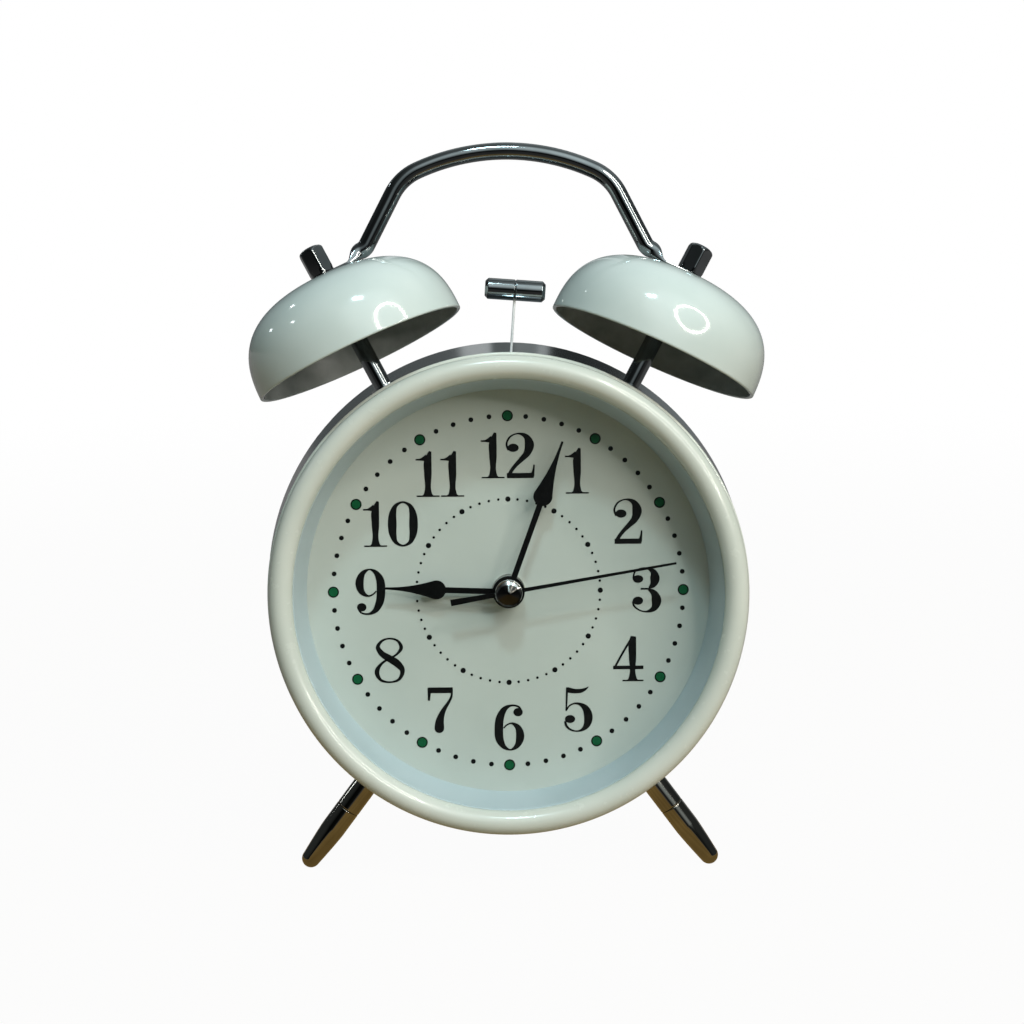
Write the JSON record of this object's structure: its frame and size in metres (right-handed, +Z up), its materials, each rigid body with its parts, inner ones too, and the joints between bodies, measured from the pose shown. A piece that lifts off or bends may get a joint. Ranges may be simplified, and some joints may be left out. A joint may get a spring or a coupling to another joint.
{
  "type": "bell alarm clock",
  "caption": "Free-standing mechanical-style alarm clock: round white case, glazed dial with spade hands, white bells on tilted posts, arched handle, swinging hammer, splayed legs.",
  "frame": {"origin": "On the surface that the clock stands on, under the middle of its bounding box", "axes": "+Z up, the dial faces -Y and leans back with the clock, +X to the right of someone facing the dial"},
  "size_m": [0.1174, 0.0618, 0.1628],
  "materials": {
    "case_steel": "brushed, plated",
    "white_enamel": "gloss white enamel",
    "white_bezel": "gloss white",
    "black_nickel": "dark mirror plating",
    "window_glass": "clear",
    "recess_white": "pale satin",
    "dial_white": "matt print",
    "hand_black": "matt black",
    "black_plastic": "fine texture",
    "white_plastic": "moulded",
    "zinc_steel": "zinc plated",
    "gear_brass": "cut",
    "coil_copper": "lacquered wire",
    "board_green": "solder mask",
    "cell_jacket": "printed jacket"
  },
  "bodies": {
    "case": {"case_drum": "case_steel", "bezel": "white_bezel", "glass": "window_glass", "dial_ring": "recess_white", "dial": "dial_white", "back_cover": "black_plastic", "cover_screws": "zinc_steel", "left_post": "black_nickel", "right_post": "black_nickel", "post_nuts": "zinc_steel", "left_bell": "white_enamel", "right_bell": "white_enamel", "left_cap_nut": "black_nickel", "right_cap_nut": "black_nickel", "handle": "black_nickel", "left_leg_collar": "black_nickel", "right_leg_collar": "black_nickel", "left_foot": "black_nickel", "right_foot": "black_nickel", "leg_screws": "zinc_steel", "movement_plate": "white_plastic", "movement_cover": "white_plastic", "stepper_coil": "coil_copper", "circuit_board": "board_green", "battery_cell": "cell_jacket", "battery_contacts": "zinc_steel", "striker_motor": "zinc_steel", "motor_bracket": "white_plastic", "hammer_pivot_pin": "zinc_steel"},
    "second_train": {"second_hand": "hand_black", "hand_cap": "black_nickel", "second_wheel": "gear_brass"},
    "minute_train": {"minute_hand": "hand_black", "cannon_pinion": "gear_brass"},
    "hour_train": {"hour_hand": "hand_black", "hour_wheel": "white_plastic"},
    "time_setter": {"setting_stem": "gear_brass", "time_knob": "black_plastic"},
    "alarm_pointer": {"alarm_hand": "hand_black", "alarm_wheel": "white_plastic"},
    "alarm_setter": {"alarm_stem": "gear_brass", "alarm_knob": "black_plastic"},
    "switch_slide": {"alarm_switch": "white_plastic"},
    "cell_door": {"battery_door": "black_plastic"},
    "hammer": {"hammer_head": "black_nickel", "hammer_wire": "zinc_steel", "hammer_lever": "white_plastic"},
    "crank": {"motor_crank": "gear_brass"}
  },
  "joints": [
    {"name": "time_set_spin", "type": "hinge", "parent": "case", "child": "time_setter", "pos_m": [-0.01039, -0.00494, 0.05572], "axis": [0, 0.9903, -0.1388], "continuous": true},
    {"name": "minute_spin", "type": "hinge", "parent": "case", "child": "minute_train", "pos_m": [0, -0.00906, 0.06235], "axis": [0, 0.9903, -0.1388], "continuous": true},
    {"name": "hour_spin", "type": "hinge", "parent": "case", "child": "hour_train", "pos_m": [0, -0.00906, 0.06235], "axis": [0, 0.9903, -0.1388], "continuous": true},
    {"name": "second_spin", "type": "hinge", "parent": "case", "child": "second_train", "pos_m": [0, -0.00906, 0.06235], "axis": [0, 0.9903, -0.1388], "continuous": true},
    {"name": "alarm_set_spin", "type": "hinge", "parent": "case", "child": "alarm_setter", "pos_m": [0.01039, -0.00494, 0.05572], "axis": [0, 0.9903, -0.1388], "continuous": true},
    {"name": "alarm_spin", "type": "hinge", "parent": "case", "child": "alarm_pointer", "pos_m": [0, -0.00906, 0.06235], "axis": [0, 0.9903, -0.1388], "continuous": true},
    {"name": "crank_spin", "type": "hinge", "parent": "case", "child": "crank", "pos_m": [0, 0.00092, 0.08315], "axis": [0, 0.9903, -0.1388], "continuous": true},
    {"name": "hammer_swing", "type": "hinge", "parent": "case", "child": "hammer", "pos_m": [0, 0.00161, 0.10249], "axis": [0, 0.9903, -0.1388], "range_deg": [-12.3, 3.9]},
    {"name": "switch_travel", "type": "slide", "parent": "case", "child": "switch_slide", "axis": [1, 0, 0], "range_m": [0, 0.004]},
    {"name": "door_pull", "type": "slide", "parent": "case", "child": "cell_door", "axis": [0, 0.9903, -0.1388], "range_m": [0, 0.02]}
  ],
  "couplings": [
    {"joint": "minute_spin", "follows": "time_set_spin", "ratio": -3},
    {"joint": "hour_spin", "follows": "time_set_spin", "ratio": -0.25},
    {"joint": "alarm_spin", "follows": "alarm_set_spin", "ratio": -0.33333}
  ]
}
